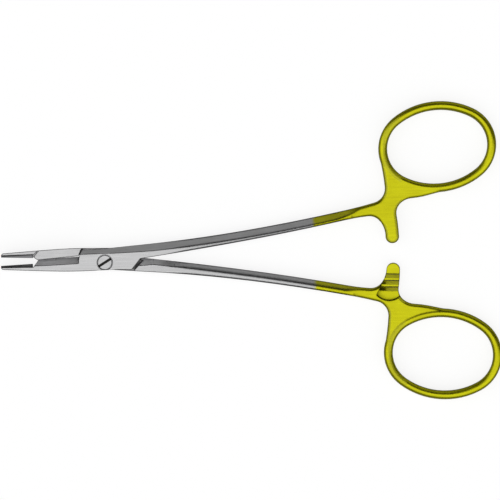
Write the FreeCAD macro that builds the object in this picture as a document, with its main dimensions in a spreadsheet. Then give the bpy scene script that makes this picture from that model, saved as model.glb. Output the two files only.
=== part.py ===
import FreeCAD, Part

import math
import os

from FreeCAD import Placement, Rotation, Vector

# Surgical needle holder with a screwed lap joint, lying flat and slightly open.
# Model frame: the pivot axis is Z at the origin, the flat back of the lock is z = 0,
# +X runs towards the finger rings along the line between the two halves.
#
# Both halves are the same forging turned over, so one set of sizes draws both.
# Each is drawn in a forging frame: jaws shut, y = 0 is the plane where the jaws meet,
# its jaw lies at y < 0, its shank and ring at y > 0, and its lap is the upper half.

doc = FreeCAD.newDocument("needle_holder")

# Driving dimensions, in millimetres and degrees.
SIZES = {
    # Lock and lap joint
    "lock_thickness": 4.2,
    "lap_gap": 0.08,
    "pivot_offset": 0.9,
    "lock_top_width": 2.77,
    "lock_low_width": 2.75,
    "lock_rear_width": 3.25,
    "lock_straight_x": 1.5,
    "lap_radius": 7.0,
    "lap_arc_gap": 0.15,
    "shoulder_gap": 0.28,
    "shoulder_low_x": 6.84,
    "shoulder_relief_radius": 0.33,
    "shoulder_relief_ahead": 0.55,
    "crotch_x": 9.3,
    "opening_angle": 4.6,
    # Jaws and carbide inserts
    "jaw_length": 27.0,
    "jaw_tip_width": 1.07,
    "jaw_heel_width": 2.0,
    "jaw_heel_x": 18.6,
    "tip_chamfer": 0.4,
    "tip_thickness": 2.0,
    "heel_thickness": 3.5,
    "insert_tip_depth": 0.45,
    "insert_heel_depth": 0.88,
    "insert_heel_gap": 0.25,
    "insert_bevel_drop": 0.3,
    "heel_nose": 1.4,
    "heel_notch": 0.2,
    "pad_step": 0.35,
    "pad_step_run": 1.2,
    "pad_step_slant": 0.8,
    # Inclined faces where the jaws lap beside the lock
    "facet_front_edge": 0.7,
    "facet_back_edge": 1.15,
    "pad_edge_at_heel": 0.55,
    "pad_heel_x": 17.4,
    "pad_edge_at_lock": 0.65,
    "pad_lock_x": 7.0,
    "pad_back_edge": 1.25,
    # Shanks
    "shank_start_x": 14.5,
    "shank_end_x": 64.3,
    "shank_start_offset": 1.63,
    "shank_end_offset": 7.42,
    "shank_bow": 0.56,
    "shank_start_width": 3.33,
    "shank_end_width": 2.56,
    "shank_taper_power": 3.0,
    "shank_thickness": 3.2,
    "lock_bevel_width": 1.15,
    "lock_bevel_depth": 0.75,
    "outer_bevel_width": 1.9,
    "outer_bevel_depth": 1.2,
    "inner_bevel_width": 1.4,
    "crotch_bevel_width": 2.1,
    "crotch_bevel_depth": 3.1,
    "crotch_bevel_x": 13.0,
    "crotch_bevel_run": 8.0,
    "crotch_flare": 3.5,
    "inner_bevel_depth": 0.95,
    # Finger rings, placed from the shank's end
    "ring_ahead": 23.85,
    "ring_aside": 15.99,
    "ring_hole_length": 26.14,
    "ring_hole_width": 19.06,
    "ring_end_radius": 8.1,
    "ring_tilt": 3.0,
    "ring_wire_width": 2.27,
    "ring_wire_height": 3.5,
    "web_edge_radius": 0.9,
    # Ratchet bars, placed from the shank's end
    "bar_ahead": 10.65,
    "bar_width": 3.5,
    "front_bar_reach": 0.85,
    "back_bar_reach": 0.1,
    "bar_gap": 0.1,
    "tooth_first_y": 2.77,
    "tooth_pitch": 1.68,
    "tooth_depth": 0.5,
    # Lock screw
    "screw_head_diameter": 3.8,
    "screw_head_height": 0.9,
    "screw_edge_chamfer": 0.13,
    "screw_shoulder_diameter": 2.6,
    "screw_thread_diameter": 2.2,
    "screw_running_gap": 0.05,
    "screw_seat_gap": 0.08,
    "screw_thread_gap": 0.02,
    "screw_slot_width": 0.57,
    "screw_slot_depth": 0.55,
    "screw_slot_angle": 31.0,
}

sheet = doc.addObject("Spreadsheet::Sheet", "sizes")
for row, (alias, number) in enumerate(SIZES.items(), start=1):
    sheet.set("A%d" % row, alias)
    sheet.set("B%d" % row, str(number))
    sheet.setAlias("B%d" % row, alias)
doc.recompute()


def size(alias):
    """The named dimension as it stands in the sheet."""
    return float(sheet.get(alias))


# Corners of the web's outline between its arcs, from the shank's end, in x and y.
WEB_OUTER = [(6.6, 2.6), (8.95, 4.23), (9.58, 6.48)]
WEB_INNER = [(4.7, -0.86), (7.7, -2.32)]
WEB_RING_SIDE = [(12.12, -1.02), (13.3, 1.93), (16.3, 3.08), (20.7, 3.6)]
WEB_TOP_ANGLE = 190.0     # where the web leaves the ring, as the ring's own direction
WEB_LOW_ANGLE = 281.0
WEB_OUT_SHARE = 0.96      # the web ends inside the ring, between these shares of its wire
WEB_IN_SHARE = 0.36

# Corners of the relief under the ratchet bar, from the bar's middle and the mating plane.
RELIEF_ARC = [(-4.3, 8.3), (-0.6, 9.7), (2.5, 7.8)]
RELIEF_REST = [(5.0, 5.7), (5.0, -5.0), (-5.0, -5.0), (-5.0, 3.0), (-2.75, 5.0)]

BLADE_STATIONS = [14.0, 20.0, 30.0, 42.0, 54.0]     # where the shank's edges are drawn, in x
BEVEL_COUNT = 18
FADE_START = -2.0         # the bevels fade from here to the web, from the shank's end
FADE_RUN = 7.0
FADE_SHARE = 0.95
FACET_START = -20.5       # the inclined faces' tool reaches between these, in x
FACET_END = -4.0
RING_FLATS = 6            # flats that make up each rounded half of the ring's wire

THICK = size("lock_thickness")
MIDDLE = THICK / 2
LAP_LEVEL = MIDDLE + size("lap_gap") / 2
HALF_ANGLE = size("opening_angle") / 2
PAST = 2.0      # how far a cutting tool reaches beyond the metal


# Shank centre line and width, as functions of the distance from the pivot

def shank_center(x):
    """Height of the shank's centre line: a chord with a shallow bow."""
    start = size("shank_start_x")
    end = size("shank_end_x")
    along = (x - start) / (end - start)
    chord = size("shank_start_offset") * (1 - along) + size("shank_end_offset") * along
    return chord - 4 * size("shank_bow") * along * (1 - along)


def shank_width(x):
    """Width of the shank: it slims from the lock towards the ring."""
    start = size("shank_start_x")
    end = size("shank_end_x")
    left = max((end - x) / (end - start), 0.0)
    extra = size("shank_start_width") - size("shank_end_width")
    return size("shank_end_width") + extra * left ** size("shank_taper_power")


def shank_outer(x):
    return shank_center(x) + shank_width(x) / 2


def shank_inner(x):
    return shank_center(x) - shank_width(x) / 2


def eased(value):
    """Smooth step from 0 to 1."""
    value = min(max(value, 0.0), 1.0)
    return value * value * (3 - 2 * value)


def between(first, second, share):
    """Size that lies at this share of the way from one named size to another."""
    return size(first) + (size(second) - size(first)) * share


def shank_drop(x):
    """How far the shank's flat lies below the lock's face at x."""
    start = size("crotch_x")
    run = size("shank_start_x")
    full = (THICK - size("shank_thickness")) / 2
    return full * eased((x - start) / run)


# Drawing helpers

def line(first, second):
    return Part.LineSegment(first, second)


def smooth(points, start=None, end=None):
    """One smooth curve through the points, with given end directions."""
    curve = Part.BSplineCurve()
    if start is None:
        curve.interpolate(Points=points)
    else:
        curve.interpolate(Points=points, InitialTangent=start, FinalTangent=end)
    return curve


def arc_chain(points, heading):
    """Arcs through the points, each tangent to the one before, leaving along heading."""
    arcs = []
    for here, there in zip(points, points[1:]):
        chord = there - here
        turn = math.atan2(heading.x * chord.y - heading.y * chord.x, heading.dot(chord))
        aside = Vector(-chord.y, chord.x, 0) / 2
        arcs.append(Part.Arc(here, (here + there) / 2 - aside * math.tan(turn / 2), there))
        heading = Rotation(Vector(0, 0, 1), math.degrees(2 * turn)).multVec(heading)
    return arcs


def polygon(points):
    """Lines that join the points into a closed outline."""
    return [line(a, b) for a, b in zip(points, points[1:] + points[:1])]


def sketch(name, geometry, placement=Placement()):
    drawing = doc.addObject("Sketcher::SketchObject", name)
    drawing.Placement = placement
    drawing.addGeometry(geometry, False)
    return drawing


def extruded(name, drawing, direction, length):
    """Prism on a sketch. Length is a number or an expression on the sheet."""
    prism = doc.addObject("Part::Extrusion", name)
    prism.Base = drawing
    prism.DirMode = "Custom"
    prism.Dir = direction
    prism.Solid = True
    if isinstance(length, str):
        prism.setExpression("LengthFwd", length)
    else:
        prism.LengthFwd = length
    return prism


def lofted(name, drawings):
    """Solid with straight lines between the drawings' matching corners."""
    solid = doc.addObject("Part::Loft", name)
    solid.Sections = drawings
    solid.Solid = True
    solid.Ruled = True
    return solid


def fused(name, shapes):
    whole = doc.addObject("Part::MultiFuse", name)
    whole.Shapes = shapes
    return whole


def cut(name, base, tool):
    rest = doc.addObject("Part::Cut", name)
    rest.Base = base
    rest.Tool = tool
    return rest


def common(name, base, tool):
    rest = doc.addObject("Part::Common", name)
    rest.Base = base
    rest.Tool = tool
    return rest


SIDE = Placement(Vector(0, -20, 0), Rotation(Vector(1, 0, 0), 90))
SIDE_SPAN = 40.0


def side_prism(name, geometry):
    """Prism across the whole width, on an outline drawn in x and z."""
    return extruded(name, sketch(name + "_sketch", geometry, SIDE), Vector(0, 1, 0), SIDE_SPAN)


def upright_block(name, low_corners, low_z, high_corners, high_z):
    """Block between two outlines in x and y, at two heights."""
    drawings = []
    for level, corners in ((low_z, low_corners), (high_z, high_corners)):
        outline = polygon([Vector(x, y, 0) for x, y in corners])
        drawings.append(sketch("%s_at_%d" % (name, len(drawings)), outline,
                               Placement(Vector(0, 0, level), Rotation())))
    return lofted(name, drawings)


def cross_section(name, x, corners):
    """Outline in y and z, on the plane across the instrument at x."""
    across = Placement(Vector(x, 0, 0), Rotation(Vector(1, 1, 1), 120))
    return sketch(name, polygon([Vector(y, z, 0) for y, z in corners]), across)


# Tools that both forgings share, in the forging frame

def front_face_tool(prefix):
    """Takes the front down from the lock to the tips and to the shank's flat."""
    tip_x = -size("jaw_length")
    tip_z = MIDDLE + size("tip_thickness") / 2
    heel_z = MIDDLE + size("heel_thickness") / 2
    jaw_face = smooth([Vector(tip_x - PAST, tip_z - 0.15, 0), Vector(tip_x, tip_z, 0),
                       Vector(-size("jaw_heel_x"), heel_z, 0),
                       Vector(-size("lap_radius") - 1, THICK, 0)],
                      Vector(1, 0.08, 0), Vector(1, 0, 0))
    far = jaw_face.StartPoint
    near = jaw_face.EndPoint
    top = THICK + PAST
    jaw_side = side_prism(prefix + "_jaw_face", [
        jaw_face, line(near, Vector(near.x, top, 0)),
        line(Vector(near.x, top, 0), Vector(far.x, top, 0)), line(Vector(far.x, top, 0), far)])
    shank_side = side_prism(prefix + "_shank_face", shank_face_outline(1))
    return [jaw_side, shank_side]


def shank_face_outline(side):
    """What is taken off the lock's thickness over the shank: side 1 front, -1 back."""
    start = size("crotch_x")
    settled = start + size("shank_start_x")
    end = size("shank_end_x") + 3 * PAST

    def level(x):
        return MIDDLE + side * (MIDDLE - shank_drop(x))

    stations = [start, start + (settled - start) / 3, start + 2 * (settled - start) / 3, settled]
    curve = smooth([Vector(x, level(x), 0) for x in stations], Vector(1, 0, 0), Vector(1, 0, 0))
    first = curve.StartPoint
    last = curve.EndPoint
    away = MIDDLE + side * (MIDDLE + PAST)
    return [curve, line(last, Vector(end, last.y, 0)),
            line(Vector(end, last.y, 0), Vector(end, away, 0)),
            line(Vector(end, away, 0), Vector(first.x, away, 0)),
            line(Vector(first.x, away, 0), first)]


def back_tip_tool(prefix):
    """Lowers the back of the jaw ahead of a diagonal step line."""
    tip_x = -size("jaw_length")
    tip_z = MIDDLE - size("tip_thickness") / 2
    heel_x = -size("jaw_heel_x")
    slope = (size("pad_step") - tip_z) / (heel_x - tip_x)
    near_x = heel_x + 3
    far_x = tip_x - PAST
    taper = side_prism(prefix + "_tip_taper", polygon([
        Vector(far_x, -PAST, 0), Vector(near_x, -PAST, 0),
        Vector(near_x, size("pad_step") + slope * (near_x - heel_x), 0),
        Vector(far_x, tip_z + slope * (far_x - tip_x), 0)]))
    # The step runs across the jaw at a slant, and its wall slopes down towards the tip.
    outer = -size("jaw_heel_width") - 1
    bend = -size("facet_front_edge") + size("heel_notch")
    slant = size("pad_step_slant") * (bend - outer)
    run = size("pad_step_run")

    def outline(level):
        edge = heel_x + size("insert_heel_gap") - level * run
        return [(far_x, outer), (edge + slant, outer), (edge, bend), (edge, PAST), (far_x, PAST)]

    ahead = upright_block(prefix + "_tip_block", outline(-PAST), -PAST, outline(MIDDLE), MIDDLE)
    return common(prefix + "_tip_relief", taper, ahead)


def bevel_fade(x):
    """1 along the shank, falling to almost nothing where the web widens."""
    start = size("shank_end_x") + FADE_START
    return 1 - FADE_SHARE * eased((x - start) / FADE_RUN)


def bevel_stations(first):
    """Where the bevels are drawn: evenly spaced from first to the web."""
    last = size("shank_end_x") + FADE_START + FADE_RUN
    step = (last - first) / BEVEL_COUNT
    return [first + step * number for number in range(BEVEL_COUNT + 1)]


def outer_edge_y(x):
    """The blade's outer edge: straight beside the lock, then the shank's."""
    straight = size("lock_straight_x")
    crotch = size("crotch_x")
    if x >= crotch:
        return shank_outer(x)
    share = eased((x - straight) / (crotch - straight))
    return size("lock_top_width") + (shank_outer(crotch) - size("lock_top_width")) * share


def outer_bevel_tool(prefix):
    """Long bevel along the outer front edge, from the lap's arc to the web."""
    first = -size("lap_radius") - 0.5
    sections = []
    for number, x in enumerate(bevel_stations(first)):
        top = THICK - shank_drop(x)
        share = eased((x - first) / (size("shank_start_x") - first))
        wide = between("lock_bevel_width", "outer_bevel_width", share)
        deep = between("lock_bevel_depth", "outer_bevel_depth", share)
        rise = deep / wide
        wide = wide * bevel_fade(x)
        outer = outer_edge_y(x)
        corners = [(outer - wide - 0.5 / rise, top + 0.5), (outer + 1, top - (wide + 1) * rise),
                   (outer + 1, top + 0.5)]
        sections.append(cross_section(prefix + "_outer_bevel_%d" % number, x, corners))
    return lofted(prefix + "_outer_bevel", sections)


def inner_bevel_corners(x, ceiling):
    """Section of the inner bevel's tool at x, cut off level at the ceiling."""
    low = shank_drop(x)
    settled = eased((x - size("crotch_bevel_x")) / size("crotch_bevel_run"))
    deep = between("crotch_bevel_depth", "inner_bevel_depth", settled)
    narrowed = eased((x - size("crotch_x")) / size("crotch_flare"))
    wide = between("crotch_bevel_width", "inner_bevel_width", narrowed)
    rise = deep / wide
    wide = wide * bevel_fade(x)
    foot = shank_inner(x) + wide
    floor = low - 0.5
    top = min(low + (wide + 1) * rise, ceiling)
    beyond = shank_inner(x) - 2
    return [(foot + (low - floor) / rise, floor), (foot - (top - low) / rise, top),
            (beyond, top), (beyond, floor)]


def inner_bevel_tool(prefix):
    """Bevel along the inner back edge: deep at the crotch, so the shanks pass when shut."""
    crotch = size("crotch_x")
    behind_lap = [cross_section("%s_crotch_bevel_%d" % (prefix, number), x,
                                inner_bevel_corners(x, LAP_LEVEL))
                  for number, x in enumerate([crotch - 2.5, crotch])]
    along_shank = [cross_section("%s_inner_bevel_%d" % (prefix, number), x,
                                 inner_bevel_corners(x, THICK + PAST))
                   for number, x in enumerate(bevel_stations(crotch))]
    return fused(prefix + "_inner_bevels", [lofted(prefix + "_crotch_bevel", behind_lap),
                                            lofted(prefix + "_inner_bevel", along_shank)])


def lap_pocket(prefix, pivot_y):
    """Room for the other half's lap: the lower half, from the arc to the rear shoulder."""
    radius = size("lap_radius")
    high = 6.0
    reach = math.sqrt(radius ** 2 - 1)
    # The rear shoulder runs parallel to the other lap's end, one shoulder gap away.
    low_x = size("shoulder_low_x")
    low_y = size("lock_rear_width")
    top_x = size("crotch_x")
    top_y = -shank_inner(top_x)
    along = Vector(top_x - low_x, top_y - low_y, 0).normalize()
    aside = Vector(-along.y, along.x, 0) * size("shoulder_gap")
    foot = Vector(low_x, low_y, 0) + aside - along * 3
    head = Vector(top_x, top_y, 0) + aside + along * 4
    upper = Vector(-1, pivot_y + reach, 0)
    lower = Vector(-1, pivot_y - reach, 0)
    arc = Part.Arc(upper, Vector(-radius, pivot_y, 0), lower)
    floor = Placement(Vector(0, 0, -PAST), Rotation())
    outline = [arc, line(lower, Vector(-1, -high - radius, 0)),
               line(Vector(-1, -high - radius, 0), Vector(head.x, -high - radius, 0)),
               line(Vector(head.x, -high - radius, 0), head), line(head, foot),
               line(foot, Vector(foot.x, high + radius, 0)),
               line(Vector(foot.x, high + radius, 0), Vector(-1, high + radius, 0)),
               line(Vector(-1, high + radius, 0), upper)]
    pocket = extruded(prefix + "_lap_pocket", sketch(prefix + "_lap_sketch", outline, floor),
                      Vector(0, 0, 1), PAST + LAP_LEVEL)
    # A round relief at the shoulder's outer end, where the two laps' corners meet.
    relief = doc.addObject("Part::Cylinder", prefix + "_shoulder_relief")
    relief.setExpression("Radius", "sizes.shoulder_relief_radius")
    relief.Height = PAST + LAP_LEVEL
    center = Vector(low_x, low_y, -PAST) + aside + along * size("shoulder_relief_ahead")
    relief.Placement = Placement(center, Rotation())
    return fused(prefix + "_lap_room", [pocket, relief])


def facet_tool(prefix, pivot_y, front_left, front_right, back_left, back_right):
    """Inclined inner face beside the lock: everything above it goes, up to the lap's arc."""
    reach = 6.0
    sections = []
    for number, (x, front, back) in enumerate([(FACET_START, front_left, back_left),
                                               (FACET_END, front_right, back_right)]):
        lean = (back - front) / THICK
        corners = [(front - lean, THICK + 1), (back + lean, -1), (reach, -1), (reach, THICK + 1)]
        sections.append(cross_section(prefix + "_facet_%d" % number, x, corners))
    wedge = lofted(prefix + "_facet_wedge", sections)
    drum = doc.addObject("Part::Cylinder", prefix + "_lap_drum")
    drum.setExpression("Radius", "sizes.lap_radius - sizes.lap_arc_gap")
    drum.Height = THICK + 2 * PAST
    drum.Placement = Placement(Vector(0, pivot_y, -PAST), Rotation())
    wedge_only = cut(prefix + "_facet_cut", wedge, drum)
    heel_x = -size("jaw_heel_x") - 0.3
    zone = doc.addObject("Part::Box", prefix + "_facet_zone")
    zone.Length = -heel_x
    zone.Width = 2 * reach
    zone.Height = THICK + 2 * PAST
    zone.Placement = Placement(Vector(heel_x, -reach, -PAST), Rotation())
    return common(prefix + "_facet_tool", wedge_only, zone)


# The blade: jaw, lock and shank in one flat outline

def blade_outline(pivot_y, inner_line, heel_points):
    tip_x = -size("jaw_length")
    chamfer = size("tip_chamfer")
    heel_x = -size("jaw_heel_x")
    lap = size("lap_radius") - size("lap_arc_gap")
    low_x = size("shoulder_low_x")
    crotch = size("crotch_x")
    end_x = size("shank_end_x") + 0.5
    tip_low = Vector(tip_x + chamfer, -size("jaw_tip_width"), 0)
    low_edge = smooth([tip_low, Vector(heel_x + 1.6, -size("jaw_heel_width"), 0),
                       Vector(-size("lap_radius") + 0.4, -size("lock_low_width"), 0),
                       Vector(0, -(size("lock_low_width") * 0.75 + size("lock_rear_width") * 0.25), 0),
                       Vector(low_x, -size("lock_rear_width"), 0)])
    corner = Vector(crotch, shank_inner(crotch), 0)
    shank_x = [crotch] + BLADE_STATIONS + [end_x]
    inner_edge = smooth([Vector(x, shank_inner(x), 0) for x in shank_x])
    nose_top_y = size("lock_top_width")
    straight_x = size("lock_straight_x")
    middle_x = (straight_x + crotch) / 2
    nose_top = Vector(-math.sqrt(lap ** 2 - (nose_top_y - pivot_y) ** 2), nose_top_y, 0)
    nose_low = Vector(-math.sqrt(lap ** 2 - (inner_line - pivot_y) ** 2), inner_line, 0)
    middle_y = (nose_top_y + inner_line) / 2
    nose_mid = Vector(-math.sqrt(lap ** 2 - (middle_y - pivot_y) ** 2), middle_y, 0)
    outer_edge = smooth([nose_top, Vector(straight_x, nose_top_y, 0),
                         Vector(middle_x, outer_edge_y(middle_x), 0)]
                        + [Vector(x, shank_outer(x), 0) for x in shank_x])
    seat_tip = Vector(tip_x, -size("insert_tip_depth"), 0)
    tip_corner = Vector(tip_x, -size("jaw_tip_width") + chamfer, 0)
    chain = [seat_tip] + heel_points + [nose_low]
    outline = [line(a, b) for a, b in zip(chain, chain[1:])]
    outline += [Part.Arc(nose_low, nose_mid, nose_top), outer_edge,
                line(outer_edge.EndPoint, inner_edge.EndPoint), inner_edge,
                line(corner, low_edge.EndPoint), low_edge, line(tip_low, tip_corner),
                line(tip_corner, seat_tip)]
    return outline


# The handle end: web, ratchet bar and ring

def from_end(ahead, aside):
    """Point placed from the end of the shank's centre line."""
    return Vector(size("shank_end_x") + ahead, size("shank_end_offset") + aside, 0)


def ring_arcs():
    """The ring's hole as an oval of four arcs: centre, radius, first and last direction."""
    a = size("ring_hole_length") / 2
    b = size("ring_hole_width") / 2
    small = size("ring_end_radius")
    large = (a * a + b * b - 2 * a * small) / (2 * (b - small))
    joint = math.degrees(math.atan2(large - b, a - small))
    return [(Vector(a - small, 0, 0), small, -joint, joint),
            (Vector(0, b - large, 0), large, joint, 180 - joint),
            (Vector(small - a, 0, 0), small, 180 - joint, 180 + joint),
            (Vector(0, large - b, 0), large, 180 + joint, 360 - joint)]


def ring_place():
    """Where the ring's own axes lie in the forging frame."""
    return Placement(from_end(size("ring_ahead"), size("ring_aside")),
                     Rotation(Vector(0, 0, 1), size("ring_tilt")))


def ring_point(direction, grow):
    """Point that lies grow outside the ring's hole, where its outline faces direction."""
    for center, radius, first, last in ring_arcs():
        if first <= direction <= last:
            way = Rotation(Vector(0, 0, 1), direction).multVec(Vector(1, 0, 0))
            return ring_place().multVec(center + way * (radius + grow))
    raise ValueError("no arc of the ring faces %s" % direction)


def web_outline(bar_reach):
    wire = size("ring_wire_width")
    half = size("bar_width") / 2
    start_x = size("shank_end_x") - 1
    lean = Vector(1, shank_center(start_x + 1) - shank_center(start_x), 0)
    outer_start = Vector(start_x, shank_outer(start_x), 0)
    inner_start = Vector(start_x, shank_inner(start_x), 0)
    bar_x = size("shank_end_x") + size("bar_ahead")
    bar_right = Vector(bar_x + half, half - bar_reach, 0)
    bar_left = Vector(bar_x - half, half - bar_reach, 0)
    top_out = ring_point(WEB_TOP_ANGLE, wire * WEB_OUT_SHARE)
    low_out = ring_point(WEB_LOW_ANGLE, wire * WEB_OUT_SHARE)
    joint = ring_arcs()[2][3]
    inside = [ring_point(angle, wire * WEB_IN_SHARE)
              for angle in (WEB_TOP_ANGLE, (WEB_TOP_ANGLE + joint) / 2, joint,
                            (joint + WEB_LOW_ANGLE) / 2, WEB_LOW_ANGLE)]
    outer = arc_chain([outer_start] + [from_end(x, y) for x, y in WEB_OUTER] + [top_out], lean)
    inner = arc_chain([inner_start] + [from_end(x, y) for x, y in WEB_INNER] + [bar_left], lean)
    ring_side = arc_chain([bar_right] + [from_end(x, y) for x, y in WEB_RING_SIDE] + [low_out],
                          Vector(0, 1, 0))
    tip = Part.Arc(bar_left, Vector(bar_x, -bar_reach, 0), bar_right)
    rounded = outer + inner + [tip] + ring_side
    closing = [line(top_out, inside[0]), Part.Arc(*inside[:3]), Part.Arc(*inside[2:]),
               line(inside[4], low_out), line(outer_start, inner_start)]
    return rounded, closing


def ring_section(radius):
    """Corners of the ring's wire beside a turning axis: an upright round-ended bar.

    Each rounded half is made of narrow flats, as a belt leaves them."""
    half = size("ring_wire_width") / 2
    straight = size("ring_wire_height") / 2 - half
    corners = []
    for side in (1, -1):
        for number in range(RING_FLATS + 1):
            way = math.pi * number / RING_FLATS
            corners.append(Vector(radius + half + side * half * math.cos(way),
                                  side * (straight + half * math.sin(way)), 0))
    return corners


def ring_solid(prefix):
    """The finger ring: the wire turned about each of the oval's four centres."""
    tilt = size("ring_tilt")
    quarters = []
    for number, (center, radius, first, last) in enumerate(ring_arcs()):
        axis = ring_place().multVec(center) + Vector(0, 0, MIDDLE)
        upright = Rotation(Vector(0, 0, 1), first + tilt).multiply(Rotation(Vector(1, 0, 0), 90))
        profile = sketch("%s_ring_section_%d" % (prefix, number), polygon(ring_section(radius)),
                         Placement(axis, upright))
        quarter = doc.addObject("Part::Revolution", "%s_ring_arc_%d" % (prefix, number))
        quarter.Source = profile
        quarter.Axis = Vector(0, 0, 1)
        quarter.Base = axis
        quarter.Angle = last - first
        quarter.Solid = True
        quarters.append(quarter)
    return fused(prefix + "_ring", quarters)


def handle_parts(prefix, bar_reach):
    """Web with the ratchet bar, edges rounded, and the ring."""
    base_z = (THICK - size("shank_thickness")) / 2
    rounded_sides, closing = web_outline(bar_reach)
    drawing = sketch(prefix + "_web_sketch", rounded_sides + closing,
                     Placement(Vector(0, 0, base_z), Rotation()))
    web = extruded(prefix + "_web", drawing, Vector(0, 0, 1), "sizes.shank_thickness")
    doc.recompute()
    # The sides' own edges are rounded, and not the ends that lie inside shank and ring.
    middles = []
    for side in rounded_sides:
        middles.append(side.toShape().valueAt((side.FirstParameter + side.LastParameter) / 2))
    rounded = doc.addObject("Part::Fillet", prefix + "_web_rounded")
    rounded.Base = web
    radius = size("web_edge_radius")
    edges = []
    for number, edge in enumerate(web.Shape.Edges, start=1):
        middle = edge.valueAt((edge.FirstParameter + edge.LastParameter) / 2)
        flat = Vector(middle.x, middle.y, 0)
        if min(flat.distanceToPoint(point) for point in middles) < 0.01:
            edges.append((number, radius, radius))
    rounded.Edges = edges
    return [rounded, ring_solid(prefix)]


def bar_tools(prefix):
    """Takes the bar's lower half away and cuts the ratchet teeth in its face."""
    bar_x = size("shank_end_x") + size("bar_ahead")
    level = MIDDLE + size("bar_gap") / 2
    left, middle, right = [Vector(bar_x + x, y, 0) for x, y in RELIEF_ARC]
    corners = [right] + [Vector(bar_x + x, y, 0) for x, y in RELIEF_REST] + [left]
    outline = [Part.Arc(left, middle, right)]
    outline += [line(a, b) for a, b in zip(corners, corners[1:])]
    drawing = sketch(prefix + "_bar_relief_sketch", outline,
                     Placement(Vector(0, 0, -PAST), Rotation()))
    relief = extruded(prefix + "_bar_relief", drawing, Vector(0, 0, 1), PAST + level)
    reach = extruded(prefix + "_bar_reach", drawing, Vector(0, 0, 1), PAST + THICK)
    teeth = []
    for number in range(3):
        low = size("tooth_first_y") + number * size("tooth_pitch")
        high = low + size("tooth_pitch") * 0.9
        notch = [(low, level - 0.2), (low, level + size("tooth_depth")), (high, level - 0.2)]
        profile = cross_section(prefix + "_tooth_%d_sketch" % number,
                                bar_x - size("bar_width"), notch)
        teeth.append(extruded(prefix + "_tooth_%d" % number, profile, Vector(1, 0, 0),
                              "sizes.bar_width * 2"))
    notches = common(prefix + "_teeth", fused(prefix + "_tooth_row", teeth), reach)
    return [relief, notches]


def lever(prefix, pivot_y, inner_line, heel_points, facet, bar_reach, bore_tools):
    """One half of the needle holder, in its forging frame."""
    blank = extruded(prefix + "_blade", sketch(prefix + "_blade_sketch",
                     blade_outline(pivot_y, inner_line, heel_points)),
                     Vector(0, 0, 1), "sizes.lock_thickness")
    faces = front_face_tool(prefix)
    back_face = side_prism(prefix + "_shank_back", shank_face_outline(-1))
    tip_relief = back_tip_tool(prefix)
    tools = faces + [back_face, tip_relief, lap_pocket(prefix, pivot_y),
                     facet_tool(prefix, pivot_y, *facet)]
    shaped = blank
    for number, tool in enumerate(tools):
        shaped = cut(prefix + "_shaped_%d" % number, shaped, tool)
    web, ring = handle_parts(prefix, bar_reach)
    shaped = fused(prefix + "_shank_and_web", [shaped, web])
    for number, tool in enumerate([outer_bevel_tool(prefix), inner_bevel_tool(prefix)]):
        shaped = cut(prefix + "_bevelled_%d" % number, shaped, tool)
    whole = fused(prefix + "_forging", [shaped, ring])
    for number, tool in enumerate(bar_tools(prefix) + bore_tools):
        whole = cut(prefix + "_finished_%d" % number, whole, tool)
    return whole, [faces[0], tip_relief]


def cylinder(name, radius, height, bottom, pivot_y=0.0):
    rod = doc.addObject("Part::Cylinder", name)
    rod.setExpression("Radius", radius)
    rod.Height = height
    rod.Placement = Placement(Vector(0, pivot_y, bottom), Rotation())
    return rod


def cone(name, low_radius, widening, height, bottom, pivot_y=0.0):
    """Cone whose radius grows by widening over its height."""
    solid = doc.addObject("Part::Cone", name)
    solid.setExpression("Radius1", low_radius)
    solid.setExpression("Radius2", "%s + %.4f" % (low_radius, widening))
    solid.Height = height
    solid.Placement = Placement(Vector(0, pivot_y, bottom), Rotation())
    return solid


def insert_depth(x):
    """How deep the carbide strip reaches into the jaw at x."""
    share = (x + size("jaw_length")) / (size("jaw_length") - size("jaw_heel_x"))
    return size("insert_tip_depth") + (size("insert_heel_depth") - size("insert_tip_depth")) * share


def insert_bevel_tool(name, side, tip_z, heel_z):
    """Bevels one face of the strip down to the gripping edge: side 1 front, -1 back."""
    drop = size("insert_bevel_drop") * side
    tip_x = -size("jaw_length")
    heel_x = -size("jaw_heel_x")
    sections = []
    for number, x in enumerate([tip_x - 0.5, heel_x + 0.5]):
        level = tip_z + (heel_z - tip_z) * (x - tip_x) / (heel_x - tip_x)
        deep = insert_depth(x)
        corners = [(-deep, level), (1, level - drop * (1 + deep) / deep), (1, level + side),
                   (-deep, level + side)]
        sections.append(cross_section("%s_%d" % (name, number), x, corners))
    return lofted(name, sections)


def insert(prefix, tools):
    """Carbide strip that lines the jaw from the tip to the heel."""
    tip_x = -size("jaw_length")
    end_x = -size("jaw_heel_x") - size("insert_heel_gap")
    outline = polygon([Vector(tip_x, -size("insert_tip_depth"), 0),
                       Vector(end_x, -insert_depth(end_x), 0),
                       Vector(end_x, 0, 0), Vector(tip_x, 0, 0)])
    shaped = extruded(prefix + "_strip", sketch(prefix + "_strip_sketch", outline),
                      Vector(0, 0, 1), "sizes.lock_thickness")
    tip_half = size("tip_thickness") / 2
    bevels = [
        insert_bevel_tool(prefix + "_front_bevel", 1, MIDDLE + tip_half,
                          MIDDLE + size("heel_thickness") / 2),
        insert_bevel_tool(prefix + "_back_bevel", -1, MIDDLE - tip_half, size("pad_step")),
    ]
    for number, tool in enumerate(tools + bevels):
        shaped = cut(prefix + "_strip_%d" % number, shaped, tool)
    return shaped


# The two levers

OFFSET = size("pivot_offset")
HEEL = -size("jaw_heel_x")
SEAT = Vector(HEEL, -size("insert_heel_depth"), 0)
HEAD_SEAT = THICK - size("screw_head_height")
CHAMFER = size("screw_edge_chamfer")
front_line = size("facet_back_edge") - 0.1
back_line = size("pad_edge_at_heel") + 0.15

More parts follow.
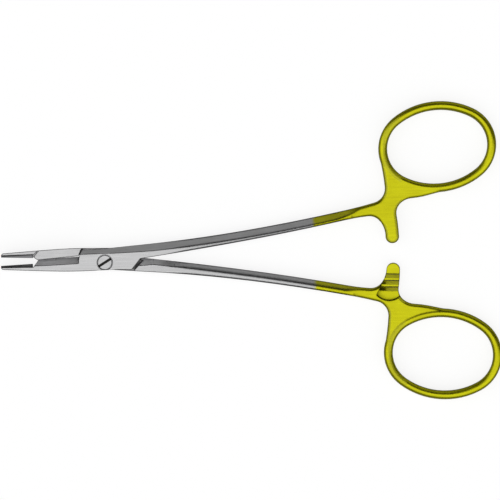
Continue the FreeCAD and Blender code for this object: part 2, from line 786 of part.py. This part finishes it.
front_bore = [
    cylinder("front_bore", "sizes.screw_shoulder_diameter / 2 + sizes.screw_running_gap",
             THICK + 2 * PAST, -PAST, -OFFSET),
    cylinder("front_counterbore", "sizes.screw_head_diameter / 2 + sizes.screw_running_gap",
             THICK, HEAD_SEAT, -OFFSET),
    cone("front_countersink", "sizes.screw_head_diameter / 2 + sizes.screw_running_gap",
         CHAMFER + 1, CHAMFER + 1, THICK - CHAMFER, -OFFSET),
]
front_lever, front_trims = lever(
    "front", -OFFSET, front_line,
    [SEAT, Vector(HEEL + size("heel_nose"), front_line, 0)],
    (-size("facet_front_edge"), -size("facet_front_edge"), size("facet_back_edge"),
     size("facet_back_edge")),
    size("front_bar_reach"), front_bore)
carbide_insert_lower = insert("lower", front_trims)

pad_slope = ((size("pad_edge_at_lock") + size("pad_edge_at_heel"))
             / (size("pad_heel_x") - size("pad_lock_x")))


def pad_edge(x):
    """Height of the upper pad's edge: it falls evenly from the heel to the lock."""
    return size("pad_edge_at_heel") - pad_slope * (x + size("pad_heel_x"))


back_bore = [
    cylinder("back_bore", "sizes.screw_thread_diameter / 2 + sizes.screw_thread_gap",
             THICK + 2 * PAST, -PAST, OFFSET),
]
back_lever, back_trims = lever(
    "back", OFFSET, back_line,
    [SEAT, Vector(HEEL, -size("heel_notch"), 0), Vector(HEEL + size("heel_nose"), back_line, 0)],
    (-size("pad_back_edge"), -size("pad_back_edge"), pad_edge(FACET_START), pad_edge(FACET_END)),
    size("back_bar_reach"), back_bore)
carbide_insert_upper = insert("upper", back_trims)

# The lock screw, threaded into the back lever

screw_parts = [
    cylinder("screw_head", "sizes.screw_head_diameter / 2",
             size("screw_head_height") - size("screw_seat_gap") - CHAMFER,
             HEAD_SEAT + size("screw_seat_gap")),
    cone("screw_head_edge", "sizes.screw_head_diameter / 2", -CHAMFER, CHAMFER, THICK - CHAMFER),
    cylinder("screw_shoulder", "sizes.screw_shoulder_diameter / 2",
             HEAD_SEAT + size("screw_seat_gap") - MIDDLE, MIDDLE),
    cylinder("screw_thread", "sizes.screw_thread_diameter / 2", MIDDLE, 0.0),
]
screw_blank = fused("screw_blank", screw_parts)
slot = doc.addObject("Part::Box", "screw_slot")
slot.setExpression("Length", "sizes.screw_head_diameter * 2")
slot.setExpression("Width", "sizes.screw_slot_width")
slot.setExpression("Height", "sizes.screw_slot_depth * 2")
turn = Rotation(Vector(0, 0, 1), size("screw_slot_angle"))
slot.Placement = Placement(
    turn.multVec(Vector(-size("screw_head_diameter"), -size("screw_slot_width") / 2, 0))
    + Vector(0, 0, THICK - size("screw_slot_depth")), turn)
lock_screw = cut("screw_cut", screw_blank, slot)

# Where each piece stands: forging frame to model frame, jaws opened by half the angle each way

about_pivot = Rotation(Vector(0, 0, 1), HALF_ANGLE)
front_place = Placement(Vector(0, 0, 0), about_pivot).multiply(
    Placement(Vector(0, OFFSET, 0), Rotation()))
turned_over = Placement(Vector(0, OFFSET, THICK), Rotation(Vector(1, 0, 0), 180))
back_place = Placement(Vector(0, 0, 0), about_pivot.inverted()).multiply(turned_over)

pieces = {
    "front_lever": (front_lever, front_place),
    "carbide_insert_lower": (carbide_insert_lower, front_place),
    "back_lever": (back_lever, back_place),
    "carbide_insert_upper": (carbide_insert_upper, back_place),
    "lock_screw": (lock_screw, Placement()),
}
for label, (piece, place) in pieces.items():
    piece.Label = label
    piece.Placement = place
doc.recompute()

# Checks, then one file for each piece

for item in doc.Objects:
    if "Invalid" in item.State or "Error" in item.State:
        raise RuntimeError("failed object: " + item.Name)
for label, (piece, place) in pieces.items():
    shape = piece.Shape
    if shape.isNull() or not shape.isValid():
        raise RuntimeError("bad shape: " + label)
    if len(shape.Solids) != 1:
        raise RuntimeError("%s has %d solids" % (label, len(shape.Solids)))

os.makedirs("parts", exist_ok=True)
for label, (piece, place) in pieces.items():
    piece.Shape.exportStep("parts/" + label + ".step")
    box = piece.Shape.BoundBox
    print(label, "volume %.1f" % piece.Shape.Volume, "faces %d" % len(piece.Shape.Faces),
          "x %.2f..%.2f y %.2f..%.2f z %.2f..%.2f"
          % (box.XMin, box.XMax, box.YMin, box.YMax, box.ZMin, box.ZMax))
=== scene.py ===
"""Surgical needle holder, lying open on a pale floor and seen from straight above."""
import math

import bmesh
import bpy
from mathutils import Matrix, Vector


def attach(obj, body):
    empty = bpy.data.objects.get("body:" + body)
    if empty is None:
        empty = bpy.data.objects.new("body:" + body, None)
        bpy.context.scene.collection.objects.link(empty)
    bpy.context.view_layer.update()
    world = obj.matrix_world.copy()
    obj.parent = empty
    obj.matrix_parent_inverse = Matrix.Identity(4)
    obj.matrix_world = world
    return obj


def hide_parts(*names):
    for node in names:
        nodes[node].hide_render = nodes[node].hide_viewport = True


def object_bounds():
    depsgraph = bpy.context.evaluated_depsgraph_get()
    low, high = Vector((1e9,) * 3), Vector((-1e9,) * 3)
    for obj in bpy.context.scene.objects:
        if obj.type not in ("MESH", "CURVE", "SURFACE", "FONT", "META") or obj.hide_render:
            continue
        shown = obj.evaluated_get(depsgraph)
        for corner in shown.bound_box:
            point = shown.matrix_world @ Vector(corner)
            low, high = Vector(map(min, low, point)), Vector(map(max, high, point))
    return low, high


MM = 0.001

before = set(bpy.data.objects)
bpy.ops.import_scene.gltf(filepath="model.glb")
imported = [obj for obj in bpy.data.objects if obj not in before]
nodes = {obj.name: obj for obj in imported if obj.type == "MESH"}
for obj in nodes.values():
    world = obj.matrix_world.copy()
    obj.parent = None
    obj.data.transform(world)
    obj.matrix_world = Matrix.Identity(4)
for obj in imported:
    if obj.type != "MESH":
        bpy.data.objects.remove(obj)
cad_low, cad_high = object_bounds()

# --- the view of the photograph -------------------------------------------------
VIEW_CENTER = (37.75, 2.26)   # the middle of the picture, in mm
VIEW_WIDTH = 130.0            # what the picture's 500 pixels span, in mm
VIEW_TURN = -1.5              # how far the picture is turned about the vertical, in degrees
VIEW_HEIGHT = 2.1             # the height that is in scale, in mm
LENS = 300.0
SENSOR = 36.0
CLIP = (0.05, 20.0)           # in metres


def make_camera():
    """A long lens straight above the instrument."""
    data = bpy.data.cameras.new("camera")
    data.lens = LENS
    data.sensor_width = SENSOR
    data.clip_start, data.clip_end = CLIP
    camera = bpy.data.objects.new("camera", data)
    bpy.context.scene.collection.objects.link(camera)
    distance = VIEW_WIDTH * LENS / SENSOR
    camera.location = (VIEW_CENTER[0] * MM, VIEW_CENTER[1] * MM,
                       (VIEW_HEIGHT + distance) * MM)
    camera.rotation_euler = (0, 0, math.radians(VIEW_TURN))
    bpy.context.scene.camera = camera


# --- node helpers ----------------------------------------------------------------
class Graph:
    """Short calls that add nodes to one material or world."""

    def __init__(self, tree):
        self.tree = tree
        tree.nodes.clear()

    def node(self, kind, _settings=None, **inputs):
        """Adds a node; inputs are numbers, colours or other nodes' outputs."""
        made = self.tree.nodes.new(kind)
        for key, value in (_settings or {}).items():
            setattr(made, key, value)
        for key, value in inputs.items():
            self.put(made.inputs[key.replace("_", " ")], value)
        return made

    def put(self, socket, value):
        """Links an output to the socket, or sets the socket's own value."""
        if isinstance(value, bpy.types.NodeSocket):
            self.tree.links.new(value, socket)
        else:
            socket.default_value = value

    def math(self, operation, a, b=0.0):
        made = self.node("ShaderNodeMath", {"operation": operation})
        self.put(made.inputs[0], a)
        self.put(made.inputs[1], b)
        return made.outputs[0]

    def vector(self, operation, a, b=(0, 0, 0), output=0):
        made = self.node("ShaderNodeVectorMath", {"operation": operation})
        self.put(made.inputs[0], a)
        self.put(made.inputs[1], b)
        return made.outputs[output]

    def place(self):
        """The shaded point in the object's own frame."""
        return self.node("ShaderNodeTexCoord").outputs["Object"]

    def part(self, vector, axis):
        """One of a vector's three numbers."""
        return self.node("ShaderNodeSeparateXYZ", Vector=vector).outputs[axis]

    def span(self, value, low, high, to_low=0.0, to_high=1.0, smooth=True):
        """value's way from low to high, as a number from to_low to to_high."""
        made = self.node("ShaderNodeMapRange", {
            "interpolation_type": "SMOOTHSTEP" if smooth else "LINEAR", "clamp": True})
        self.put(made.inputs["Value"], value)
        for key, number in (("From Min", low), ("From Max", high),
                            ("To Min", to_low), ("To Max", to_high)):
            made.inputs[key].default_value = number
        return made.outputs["Result"]

    def band(self, value, rise, fall):
        """1 where value is past rise and not yet at fall, with soft ends."""
        return self.math("MULTIPLY", self.span(value, *rise), self.span(value, *fall, 1.0, 0.0))

    def noise(self, place, scale, detail=2.0, rough=0.5):
        return self.node("ShaderNodeTexNoise", Vector=place, Scale=scale, Detail=detail,
                         Roughness=rough).outputs["Fac"]

    def mix(self, share, a, b, blend="MIX"):
        made = self.node("ShaderNodeMix", {"data_type": "RGBA", "blend_type": blend})
        self.put(made.inputs[0], share)
        self.put(made.inputs[6], a)
        self.put(made.inputs[7], b)
        return made.outputs[2]

    def ramp(self, value, stops):
        """A grey level for value, on straight runs between the stops."""
        made = self.node("ShaderNodeValToRGB")
        row = made.color_ramp.elements
        while len(row) < len(stops):
            row.new(0.5)
        for element, (place, level) in zip(row, stops):
            element.position = place
            element.color = (level, level, level, 1)
        self.put(made.inputs["Fac"], value)
        return made.outputs["Color"]


def new_material(name):
    """A material and its graph."""
    material = bpy.data.materials.new(name)
    material.use_nodes = True
    return material, Graph(material.node_tree)


# --- materials -----------------------------------------------------------------
STEEL = (0.58, 0.58, 0.585, 1)
GOLD = (0.62, 0.61, 0.012, 1)
GOLD_SHADE = (0.50, 0.46, 0.009, 1)
GOLD_CLOUD = (140.0, 0.35)    # scale of the gold's darker clouds, and their largest share
CARBIDE = (0.27, 0.27, 0.28, 1)
CARBIDE_SHADE = (0.20, 0.20, 0.21, 1)
CARBIDE_CLOUD = (2600.0, 0.3)          # the same for the carbide's mottling
# the braze's dark colour, also used as painted shade in the screw's slot
BRAZE_AND_SLOT_SHADE = (0.05, 0.048, 0.045, 1)
BRAZE_LINE = (0.08 * MM, 0.24 * MM)    # the braze shows this near to the insert's seat
PLATING = (53.9 * MM, 54.9 * MM)       # where the plating starts and where it is whole
WAVER = (900.0, 0.15 * MM)             # scale and size of its edge's wavering

ROUGHNESS = {"steel": 0.30, "gold": 0.26, "screw": 0.28, "carbide": 0.36}
RELIEF = {"steel": 0.35, "carbide": 0.5}
RELIEF_HEIGHT = 0.004 * MM
ANISOTROPY = 0.3
CLOUD = 260.0                 # broad unevenness of the satin
GRAIN = (9000.0, (0.12, 1.0, 1.0))     # scale and stretch of the grain, about 0.1 mm across
STREAKS = (2600.0, (0.05, 1.0, 1.0))   # and of the longer, broader streaks
MOST = (0.35, 0.65)           # most of a noise's values lie between these
NEARLY_ALL = (0.3, 0.7)       # and nearly all between these
# Each of these four: the noise's low and high, and what they add or multiply by.
GRAIN_GLOSS = (*NEARLY_ALL, -0.05, 0.05)
CLOUD_GLOSS = (*MOST, -0.03, 0.03)
GRAIN_TONE = (0.75, 1.25, 0.95, 1.03)
STREAK_TONE = (*MOST, 0.93, 1.04)

# How far edges are rounded off.
EDGE_RADIUS = (0.2 * MM, 0.5 * MM)     # at the lock and at the shanks
EDGE_CHANGE = (9.0 * MM, 16.0 * MM)    # where the one turns into the other
SCREW_EDGE = 0.1 * MM
CARBIDE_EDGE = 0.04 * MM
BEVEL_SAMPLES = 12

# Painted shade between walls, from how open the metal lies. Each SHADE: a low and a high
# openness, and the brightness left at them.
CREVICE = 0.3 * MM            # how near metal has to be for painted shade in a corner
CREVICE_SHADE = (0.10, 0.8, 0.35, 1.0)
PIT = 2.6 * MM                # and for painted shade on a level floor between walls
PIT_SHADE = (0.15, 0.8, 0.05, 1.0)
OPEN_SAMPLES = 8

# The painted dark line along edges: painted shade standing in for the dark reflections there.
EDGE_LINE = (0.30 * MM, 0.80 * MM)     # its reach at the lock and at the shanks
LINE_START = (15.0 * MM, 23.0 * MM)    # where the one turns into the other, in x
SCREW_ZONE = (2.2 * MM, 3.2 * MM)      # this near the screw it narrows
SCREW_SHARE = 0.4                      # to this share
CREASE = (0.03, 0.13)         # the turn, in radians, from which an edge shows it: on steel
PLATED_CREASE = (0.36, 0.75)  # and on the plated handle
CREASE_SHADE = 0.10           # how dark it is on steel
PLATED_SHADE = 0.3            # and on the handle
LINE_CHANGE = (62.0 * MM, 67.0 * MM)   # where the one turns into the other
FOOT_SIDE = (-0.6 * MM, -0.2 * MM)     # y times a normal's share, on the inner bevels
FOOT_WIDER = 1.8              # the line at the foot of an inner bevel is so much wider
FOOT_OUTER = 0.25             # and the one along that bevel's outer edge so much weaker
FOOT_TURN = (-0.02, 0.0)      # there, rounding makes the normal less upright by this

# Faces are told apart by how upright their normals are: 1 on a level face, 0 on a wall.
LEVEL = (0.8, 0.95)           # where a face starts to count as level and where it fully does
# The other kinds, and their places along x, start softly and end softly, with a pair for each.
STEEP = ((0.10, 0.30), (0.70, 0.80))   # the milled faces beside the lock
LOCK = ((-18.9 * MM, -18.4 * MM), (13.0 * MM, 19.0 * MM))
TOOTH = ((0.70, 0.85), (0.94, 0.985))  # the ratchet teeth
BAR = ((72.6 * MM, 73.2 * MM), (77.2 * MM, 77.8 * MM))
BEVEL = ((0.40, 0.50), (0.89, 0.95))   # the shanks' ground bevels
SHANK_END = (63.0 * MM, 67.0 * MM)
BEVEL_MATT = 0.62             # how matt the shanks' bevels are
MATT_ROUGH = 0.3              # a matt face is so much rougher
MATT_METAL = 0.85             # and so much less of a mirror
MILLED_LIGHT = 1.5            # painted light: the milled faces are painted this much paler than the rest

SLOT_EDGE = (3.98 * MM, 4.04 * MM)     # the screw's slot is painted dark below this height, as painted shade
SCREW_END = (1.0 * MM, 1.2 * MM)       # and its plain end is steel again below this


def stretched_noise(g, place, scale, stretch):
    """Fine lines of a satin grinding that run along the instrument."""
    lines = g.node("ShaderNodeMapping", Vector=place, Scale=stretch).outputs[0]
    return g.noise(lines, scale, detail=3.0, rough=0.6)


def upright_share(g, normal):
    """1 for a level face and 0 for a wall."""
    return g.math("ABSOLUTE", g.part(normal, "Z"))


def inner_bevel(g, place, flat, along):
    """1 on one inner bevel of each shank: above on the back lever, below on the front one."""
    side = g.part(place, "Y")
    inward, front = (g.span(g.math("MULTIPLY", g.part(flat, axis), side), *FOOT_SIDE, 1.0, 0.0)
                     for axis in "YZ")
    reach = g.band(along, LINE_START, SHANK_END)
    return g.math("MULTIPLY", g.math("MULTIPLY", inward, front), reach)


def painted_edge_line(g, place, along):
    """Painted shade: 1 on open faces, falling along the edges where the metal turns sharply."""
    flat = g.node("ShaderNodeNewGeometry").outputs["True Normal"]
    width = EDGE_LINE[0] * SCREW_SHARE
    if along is not None:
        away = g.vector("LENGTH", g.vector("MULTIPLY", place, (1, 1, 0)), output="Value")
        width = g.math("MULTIPLY", g.span(along, *LINE_START, *EDGE_LINE),
                       g.span(away, *SCREW_ZONE, SCREW_SHARE, 1.0))
        inner = inner_bevel(g, place, flat, along)
        width = g.math("MULTIPLY", width, g.span(inner, 0.0, 1.0, 1.0, FOOT_WIDER))
    turned = g.node("ShaderNodeBevel", {"samples": BEVEL_SAMPLES}, Radius=width).outputs[0]
    alike = g.vector("DOT_PRODUCT", turned, flat, output="Value")
    bend = g.math("ARCCOSINE", g.math("MINIMUM", 1.0, alike))
    if along is None:
        return g.span(bend, *CREASE, 1.0, CREASE_SHADE)
    lean = g.math("SUBTRACT", upright_share(g, turned), upright_share(g, flat))
    outer = g.math("MULTIPLY", inner, g.span(lean, *FOOT_TURN, 1.0, 0.0))
    bend = g.math("MULTIPLY", bend, g.span(outer, 0.0, 1.0, 1.0, FOOT_OUTER))
    steel = g.span(bend, *CREASE, 1.0, CREASE_SHADE)
    plated = g.span(bend, *PLATED_CREASE, 1.0, PLATED_SHADE)
    share = g.span(along, *LINE_CHANGE)
    kept = g.math("MULTIPLY", steel, g.math("SUBTRACT", 1.0, share))
    return g.math("ADD", kept, g.math("MULTIPLY", plated, share))


def matt_share(g, along, upright):
    """How matt the metal is, and how much of that is milled faces beside the lock, which get
    painted light.
    """
    milled = g.math("MULTIPLY", g.band(upright, *STEEP), g.band(along, *LOCK))
    teeth = g.math("MULTIPLY", g.band(upright, *TOOTH), g.band(along, *BAR))
    shank = g.math("MULTIPLY", g.span(along, *SHANK_END, BEVEL_MATT, 0.0),
                   g.band(upright, *BEVEL))
    return g.math("MAXIMUM", shank, g.math("MAXIMUM", milled, teeth)), milled


def painted_shade(g, place, along, upright):
    """Painted shade: 1 on open faces, falling in corners, on the floors of gaps and along sharp
    edges.
    """
    near, deep = (g.node("ShaderNodeAmbientOcclusion", {"samples": OPEN_SAMPLES},
                         Distance=distance).outputs["AO"] for distance in (CREVICE, PIT))
    pit = g.math("MAXIMUM", g.span(deep, *PIT_SHADE),
                 g.math("SUBTRACT", 1.0, g.span(upright, *LEVEL)))
    painted_corner_shade = g.math("MULTIPLY", g.span(near, *CREVICE_SHADE), pit)
    return g.math("MULTIPLY", painted_corner_shade, painted_edge_line(g, place, along))


def satin(g, place, color, roughness, relief, edge_radius, along=None):
    """Satin-ground metal: a grain in its gloss and relief, softened edges, painted shade in
    corners and along edges.
    """
    lines = stretched_noise(g, place, *GRAIN)
    streaks = stretched_noise(g, place, *STREAKS)
    cloud = g.noise(place, CLOUD)
    uneven = g.math("ADD", g.span(lines, *GRAIN_GLOSS, smooth=False),
                    g.span(cloud, *CLOUD_GLOSS))
    edges = g.node("ShaderNodeBevel", {"samples": BEVEL_SAMPLES}, Radius=edge_radius)
    bump = g.node("ShaderNodeBump", Height=lines, Strength=relief, Distance=RELIEF_HEIGHT,
                  Normal=edges.outputs[0])
    tone = g.math("MULTIPLY",
                  g.span(g.math("ADD", lines, cloud), *GRAIN_TONE, smooth=False),
                  g.span(streaks, *STREAK_TONE, smooth=False))
    upright = upright_share(g, g.node("ShaderNodeNewGeometry").outputs["True Normal"])
    # the colour is darkened by painted shade in corners, in gaps and along edges
    shade = g.mix(1.0, g.mix(1.0, color, tone, "MULTIPLY"),
                  painted_shade(g, place, along, upright), "MULTIPLY")
    rough = g.math("ADD", roughness, uneven)
    metallic = 1.0
    if along is not None:
        matt, milled = matt_share(g, along, upright)
        # painted light: the milled faces beside the lock are painted paler
        shade = g.mix(1.0, shade, g.span(milled, 0.0, 1.0, 1.0, MILLED_LIGHT), "MULTIPLY")
        rough = g.math("ADD", rough, g.math("MULTIPLY", matt, MATT_ROUGH))
        metallic = g.math("SUBTRACT", 1.0, g.math("MULTIPLY", matt, MATT_METAL))
    metal = g.node("ShaderNodeBsdfPrincipled", Base_Color=shade, Metallic=metallic,
                   Roughness=rough, Anisotropic=ANISOTROPY, Normal=bump.outputs[0])
    g.node("ShaderNodeOutputMaterial", Surface=metal.outputs[0])


def lever_material():
    """Satin steel, plated with gold from the shanks' ends to the rings."""
    material, g = new_material("lever_steel_and_gold")
    place = g.place()
    along = g.part(place, "X")
    waver = g.span(g.noise(place, WAVER[0]), *NEARLY_ALL, -WAVER[1], WAVER[1])
    plated = g.span(g.math("ADD", along, waver), *PLATING)
    cloud = g.span(g.noise(place, GOLD_CLOUD[0], detail=1.0), *MOST)
    gold = g.mix(g.math("MULTIPLY", cloud, GOLD_CLOUD[1]), GOLD, GOLD_SHADE)
    smoother = ROUGHNESS["gold"] - ROUGHNESS["steel"]
    roughness = g.math("ADD", ROUGHNESS["steel"], g.math("MULTIPLY", plated, smoother))
    satin(g, place, g.mix(plated, STEEL, gold), roughness, RELIEF["steel"],
          g.span(along, *EDGE_CHANGE, *EDGE_RADIUS), along)
    return material


def screw_material():
    """The same satin steel; the slot, and the shank hidden in its bore, are painted dark, as
    painted shade.
    """
    material, g = new_material("screw_steel")
    place = g.place()
    height = g.part(place, "Z")
    # painted shade: the slot and the hidden shank take the dark colour
    face = g.math("MAXIMUM", g.span(height, *SLOT_EDGE), g.span(height, *SCREW_END, 1.0, 0.0))
    satin(g, place, g.mix(face, BRAZE_AND_SLOT_SHADE, STEEL), ROUGHNESS["screw"], RELIEF["steel"],
          SCREW_EDGE)
    return material


def carbide_material(name, seat):
    """Dark sintered carbide, slightly mottled, with the braze showing along its seat."""
    material, g = new_material(name)
    place = g.place()
    tip, heel = seat
    along = (heel - tip).normalized()
    across = (-along.y, along.x, 0)
    away = g.vector("DOT_PRODUCT", g.vector("SUBTRACT", place, tuple(tip)), across,
                    output="Value")
    braze = g.span(g.math("ABSOLUTE", away), *BRAZE_LINE)
    mottle = g.span(g.noise(place, CARBIDE_CLOUD[0], detail=3.0), *MOST)
    body = g.mix(g.math("MULTIPLY", mottle, CARBIDE_CLOUD[1]), CARBIDE, CARBIDE_SHADE)
    satin(g, place, g.mix(braze, BRAZE_AND_SLOT_SHADE, body), ROUGHNESS["carbide"], RELIEF["carbide"],
          CARBIDE_EDGE)
    return material


# --- floor and light ----------------------------------------------------------------
FLOOR_GLOW = 0.84                      # to the eye the floor glows with this,
FLOOR_LIT = (0.25, 0.25, 0.25, 1)      # and light adds to it by this colour
FLOOR_PLAIN = (0.34, 0.34, 0.34, 1)    # reflections see a plain floor of this colour
# Radius and height of the floor's rings, in metres. Its rim sweeps up.
FLOOR_PROFILE = [(1.0, 0.0), (2.2, 0.0), (2.5, 0.01), (2.75, 0.05), (2.9, 0.12), (3.0, 0.22)]
FLOOR_SIDES = 96
FLOOR_GAP = 0.05 * MM         # the floor lies so far below the instrument
DARK_SIDE = (0.35, 0.937, 0.0)         # the dark panel stands in this direction
# Brightness of the sky by its share of the way from the front horizon to the dark one.
SKY = [(0.0, 0.30), (0.06, 0.34), (0.16, 0.95), (0.50, 1.12), (0.58, 1.05), (0.65, 0.20),
       (0.69, 0.04), (0.88, 0.04), (0.95, 0.34), (1.0, 0.38)]
SKY_RIM = (0.05, 0.45, 0.25, 1.0)      # heights, and what the sky is dimmed to at them
RIM_FREE = (0.6, 0.8)         # towards the dark side it isn't dimmed


def floor_material():
    """White for the eye, with the object's own soft shadow; plain in reflections."""
    material, g = new_material("pale_floor")
    path = g.node("ShaderNodeLightPath").outputs
    seen = g.math("MAXIMUM", path["Is Camera Ray"], path["Is Transmission Ray"])
    lit = g.node("ShaderNodeBsdfDiffuse", Color=FLOOR_LIT)
    glow = g.node("ShaderNodeEmission", Color=(1, 1, 1, 1), Strength=FLOOR_GLOW)
    both = g.node("ShaderNodeAddShader")
    g.put(both.inputs[0], lit.outputs[0])
    g.put(both.inputs[1], glow.outputs[0])
    plain = g.node("ShaderNodeBsdfDiffuse", Color=FLOOR_PLAIN)
    choice = g.node("ShaderNodeMixShader")
    g.put(choice.inputs[0], seen)
    g.put(choice.inputs[1], plain.outputs[0])
    g.put(choice.inputs[2], both.outputs[0])
    g.node("ShaderNodeOutputMaterial", Surface=choice.outputs[0])
    return material


def make_floor():
    """A round floor whose rim sweeps up, so that it is the backdrop on every side."""
    mesh = bpy.data.meshes.new("floor")
    shape = bmesh.new()
    turns = [2 * math.pi * step / FLOOR_SIDES for step in range(FLOOR_SIDES)]
    rings = [[shape.verts.new((radius * math.cos(turn), radius * math.sin(turn), height))
              for turn in turns] for radius, height in FLOOR_PROFILE]
    shape.faces.new(rings[0])
    for low, high in zip(rings, rings[1:]):
        for step in range(FLOOR_SIDES):
            after = (step + 1) % FLOOR_SIDES
            shape.faces.new((low[step], high[step], high[after], low[after]))
    for face in shape.faces:
        face.smooth = True
    shape.to_mesh(mesh)
    shape.free()
    floor = bpy.data.objects.new("floor", mesh)
    floor.data.materials.append(floor_material())
    floor.location = (VIEW_CENTER[0] * MM, VIEW_CENTER[1] * MM, cad_low.z - FLOOR_GAP)
    bpy.context.scene.collection.objects.link(floor)


def make_light():
    """A soft studio sky: bright overhead and in front, a dark panel behind, a dim rim."""
    world = bpy.data.worlds.new("studio")
    world.use_nodes = True
    g = Graph(world.node_tree)
    bpy.context.scene.world = world
    toward = g.node("ShaderNodeTexCoord").outputs["Generated"]
    behind = g.vector("DOT_PRODUCT", toward, DARK_SIDE, output="Value")
    level = g.ramp(g.span(behind, -1.0, 1.0, smooth=False), SKY)
    rim = g.math("MAXIMUM", g.span(g.part(toward, "Z"), *SKY_RIM), g.span(behind, *RIM_FREE))
    sky = g.node("ShaderNodeBackground", Color=g.mix(1.0, level, rim, "MULTIPLY"))
    g.node("ShaderNodeOutputWorld", Surface=sky.outputs[0])


# --- the carbide inserts, with their cut gripping faces ------------------------------
# Sizes of the jaws as in the CAD, in mm unless they say otherwise.
OPEN_HALF = 2.3               # each half stands open by this, in degrees
THICK = 4.2                   # of the whole instrument
PIVOT_OFFSET = 0.9            # the gripping plane passes the pivot at this distance
JAW_TIP = -27.0               # the seats reach from here
JAW_HEEL = -18.6              # to here
HEEL_GAP = 0.25               # and the strips end so much before
SEAT_DEPTH = (0.45, 0.88)     # at the tip and at the heel, as are the next two
LOW_LEVEL = (1.1, 0.35)       # height of the strip's lower side
HIGH_LEVEL = (3.1, 3.85)      # and of its upper side
BEVEL_DROP = 0.3              # the gripping face is lower by this at either side
CUT_PITCH = 0.15              # half the distance between two teeth along the jaw
CUT_DEPTH = 0.07              # of the teeth
CUT_ROWS = 12                 # twice the number of teeth across it


def jaw_point(upper, x, y, z):
    """Point of a jaw, drawn shut and with its gripping plane at y = 0, in the model's frame."""
    if upper:
        y, z = -y, THICK - z
    turn = math.radians(-OPEN_HALF if upper else OPEN_HALF)
    y += PIVOT_OFFSET
    return Vector((x * math.cos(turn) - y * math.sin(turn),
                   x * math.sin(turn) + y * math.cos(turn), z)) * MM


def insert_loop(x, station):
    """Section of the strip at x: seat, bevels, and the gripping face's cross-cut teeth."""
    share = (x - JAW_TIP) / (JAW_HEEL - JAW_TIP)
    deep, low, high = (pair[0] + (pair[1] - pair[0]) * share
                       for pair in (SEAT_DEPTH, LOW_LEVEL, HIGH_LEVEL))
    bottom = low + BEVEL_DROP
    top = high - BEVEL_DROP
    loop = [(-deep, low), (-deep, high)]
    for row in range(CUT_ROWS + 1):
        rim = row in (0, CUT_ROWS)
        valley = (row + station) % 2 == 1
        loop.append((-CUT_DEPTH if valley and not rim else 0.0,
                     top + (bottom - top) * row / CUT_ROWS))
    return loop


def serrated_insert(name, node, body, upper, material):
    """Carbide strip with pyramid teeth between its bevels, in place of the plain strip."""
    end = JAW_HEEL - HEEL_GAP
    stations = round((end - JAW_TIP) / CUT_PITCH)
    shape = bmesh.new()
    loops = []
    for station in range(stations + 1):
        x = JAW_TIP + (end - JAW_TIP) * station / stations
        loops.append([shape.verts.new(jaw_point(upper, x, y, z))
                      for y, z in insert_loop(x, station)])
    for here, there in zip(loops, loops[1:]):
        for corner in range(len(here)):
            after = (corner + 1) % len(here)
            shape.faces.new((here[corner], here[after], there[after], there[corner]))
    shape.faces.new(loops[0])
    shape.faces.new(reversed(loops[-1]))
    bmesh.ops.triangulate(shape, faces=shape.faces[:])
    bmesh.ops.recalc_face_normals(shape, faces=shape.faces[:])
    mesh = bpy.data.meshes.new(name)
    shape.to_mesh(mesh)
    shape.free()
    mesh.materials.append(material)
    piece = bpy.data.objects.new(name, mesh)
    bpy.context.scene.collection.objects.link(piece)
    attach(piece, body)
    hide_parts(node)


def dress(node, material):
    """Gives a CAD node its material."""
    data = nodes[node].data
    data.materials.clear()
    data.materials.append(material)


make_camera()
make_floor()
make_light()
lever = lever_material()
for name in ("front_lever", "back_lever"):
    dress(name, lever)
dress("lock_screw", screw_material())
for side, body, upper in (("lower", "front_half", False), ("upper", "back_half", True)):
    seat = [jaw_point(upper, x, -depth, 0.0)
            for x, depth in zip((JAW_TIP, JAW_HEEL), SEAT_DEPTH)]
    serrated_insert("serrated_insert_" + side, "carbide_insert_" + side, body, upper,
                    carbide_material("tungsten_carbide_" + side, seat))

view = bpy.context.scene.view_settings
view.view_transform = "Standard"
